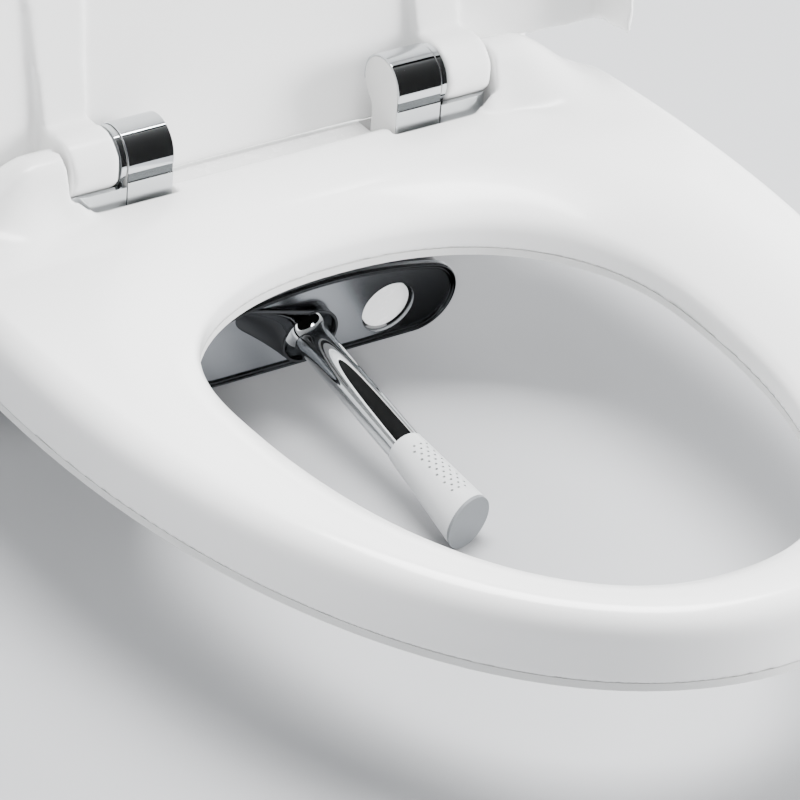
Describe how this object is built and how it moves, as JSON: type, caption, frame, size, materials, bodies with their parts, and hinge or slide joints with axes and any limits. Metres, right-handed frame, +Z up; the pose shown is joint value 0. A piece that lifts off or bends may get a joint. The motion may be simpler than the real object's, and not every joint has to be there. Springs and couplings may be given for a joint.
{
  "type": "electric bidet seat",
  "caption": "White electric bidet seat with the lid open, a chrome spray arm run out of its long plate, a round air outlet and chrome hinge towers",
  "frame": {"origin": "midway between the two fixing bolts, on the plane of the bowl rim that the seat is bolted to", "axes": "+Z up, -Y towards the front of the seat, +X to the right of a person who faces the bowl"},
  "size_m": [0.377, 0.549, 0.5166],
  "materials": {
    "seat_plastic": "glossy white moulded plastic",
    "lid_plastic": "glossy white moulded plastic",
    "housing_plastic": "glossy white moulded plastic",
    "underside_plastic": "satin white plastic with a fine grain",
    "black_plastic": "matt dark plastic",
    "soft_rubber": "soft pale rubber",
    "hose_rubber": "grey silicone hose",
    "heating_foil": "thin foil",
    "steel_fastener": "turned stainless steel",
    "chrome_trim": "polished chrome plating",
    "chrome_tube": "polished chrome plated tube",
    "satin_trim": "satin strip",
    "brushed_plate": "fine brushed satin plate",
    "nozzle_white": "satin white spray head",
    "nozzle_grey": "flat grey end disc",
    "flap_white": "smooth white shutter",
    "motor_metal": "plain steel casing",
    "heater_metal": "cast aluminium body",
    "brass_thread": "machined brass thread",
    "board_green": "printed circuit board",
    "cartridge_grey": "satin light grey plastic",
    "button_grey": "smooth light grey key",
    "panel_grey": "smooth grey key plate"
  },
  "bodies": {
    "base": {"hinge_tower_left": "underside_plastic", "hinge_tower_right": "underside_plastic", "tower_head_cover_left": "chrome_trim", "tower_head_cover_right": "chrome_trim", "tower_front_covers": "chrome_trim", "tower_trims": "satin_trim", "hinge_pin_left": "steel_fastener", "hinge_pin_right": "steel_fastener", "hinge_dampers": "black_plastic", "tower_screws": "steel_fastener", "mounting_plates": "underside_plastic", "fixing_bolts": "steel_fastener", "chassis": "underside_plastic", "housing_cover": "housing_plastic", "cover_screws": "steel_fastener", "support_posts": "underside_plastic", "face_plate": "brushed_plate", "face_plate_rim": "chrome_trim", "unit_carrier": "black_plastic", "nozzle_collar": "chrome_trim", "nozzle_guide": "black_plastic", "nozzle_motor": "motor_metal", "air_duct": "black_plastic", "flap_bearings": "black_plastic", "fan_scroll": "black_plastic", "fan_motor": "motor_metal", "water_heater": "heater_metal", "water_pump": "motor_metal", "inlet_valve": "black_plastic", "water_inlet": "brass_thread", "control_board": "board_green", "board_parts": "black_plastic", "power_supply": "black_plastic", "water_hoses": "hose_rubber", "control_panel": "panel_grey", "power_gland": "black_plastic"},
    "seat": {"seat_top": "seat_plastic", "seat_bottom": "underside_plastic", "seat_heater": "heating_foil", "seat_bumpers": "soft_rubber", "seat_bracket_left": "chrome_trim", "seat_bracket_right": "chrome_trim", "bracket_screws": "steel_fastener"},
    "lid_body": {"lid": "lid_plastic", "lid_bumpers": "soft_rubber"},
    "spray_arm": {"nozzle_tube": "chrome_tube", "nozzle_tip": "nozzle_white", "nozzle_end_disc": "nozzle_grey", "nozzle_carriage": "black_plastic"},
    "drive_screw": {"nozzle_screw": "steel_fastener"},
    "flap": {"dryer_flap": "flap_white"},
    "fan": {"fan_impeller": "black_plastic"},
    "cartridge": {"deodoriser": "cartridge_grey"},
    "release": {"release_button": "button_grey"},
    "key_1": {"button_1": "button_grey"},
    "key_2": {"button_2": "button_grey"},
    "key_3": {"button_3": "button_grey"},
    "key_4": {"button_4": "button_grey"},
    "key_5": {"button_5": "button_grey"}
  },
  "joints": [
    {"name": "seat_hinge", "type": "hinge", "parent": "base", "child": "seat", "pos_m": [0, -0.046, 0.051], "axis": [-1, 0, 0], "range_deg": [0, 92]},
    {"name": "lid_hinge", "type": "hinge", "parent": "base", "child": "lid_body", "pos_m": [0, -0.046, 0.051], "axis": [-1, 0, 0], "range_deg": [-98, 0]},
    {"name": "arm_slide", "type": "slide", "parent": "base", "child": "spray_arm", "axis": [0, -0.9848, -0.1736], "range_m": [-0.116, 0]},
    {"name": "screw_turn", "type": "hinge", "parent": "base", "child": "drive_screw", "pos_m": [-0.008, 0.0007, 0.00262], "axis": [0, -0.9848, -0.1736], "range_deg": [-3800, 180]},
    {"name": "flap_hinge", "type": "hinge", "parent": "base", "child": "flap", "pos_m": [0.035, -0.09346, -0.01906], "axis": [-1, 0, 0], "range_deg": [0, 35], "stiffness_Nm_per_rad": 0.0012, "springref_deg": -28.65},
    {"name": "fan_turn", "type": "hinge", "parent": "base", "child": "fan", "pos_m": [0.04, 0.036, 0.038], "axis": [1, 0, 0], "continuous": true},
    {"name": "cartridge_slide", "type": "slide", "parent": "base", "child": "cartridge", "axis": [1, 0, 0], "range_m": [0, 0.05]},
    {"name": "release_press", "type": "slide", "parent": "base", "child": "release", "axis": [-1, 0, 0], "range_m": [0, 0.003], "stiffness_N_per_m": 500},
    {"name": "key_1_press", "type": "slide", "parent": "base", "child": "key_1", "axis": [1, 0, 0], "range_m": [0, 0.0015], "stiffness_N_per_m": 300},
    {"name": "key_2_press", "type": "slide", "parent": "base", "child": "key_2", "axis": [1, 0, 0], "range_m": [0, 0.0015], "stiffness_N_per_m": 300},
    {"name": "key_3_press", "type": "slide", "parent": "base", "child": "key_3", "axis": [1, 0, 0], "range_m": [0, 0.0015], "stiffness_N_per_m": 300},
    {"name": "key_4_press", "type": "slide", "parent": "base", "child": "key_4", "axis": [1, 0, 0], "range_m": [0, 0.0015], "stiffness_N_per_m": 300},
    {"name": "key_5_press", "type": "slide", "parent": "base", "child": "key_5", "axis": [1, 0, 0], "range_m": [0, 0.0015], "stiffness_N_per_m": 300}
  ],
  "couplings": [
    {"joint": "screw_turn", "follows": "arm_slide", "rad_per_m": 523.6}
  ]
}
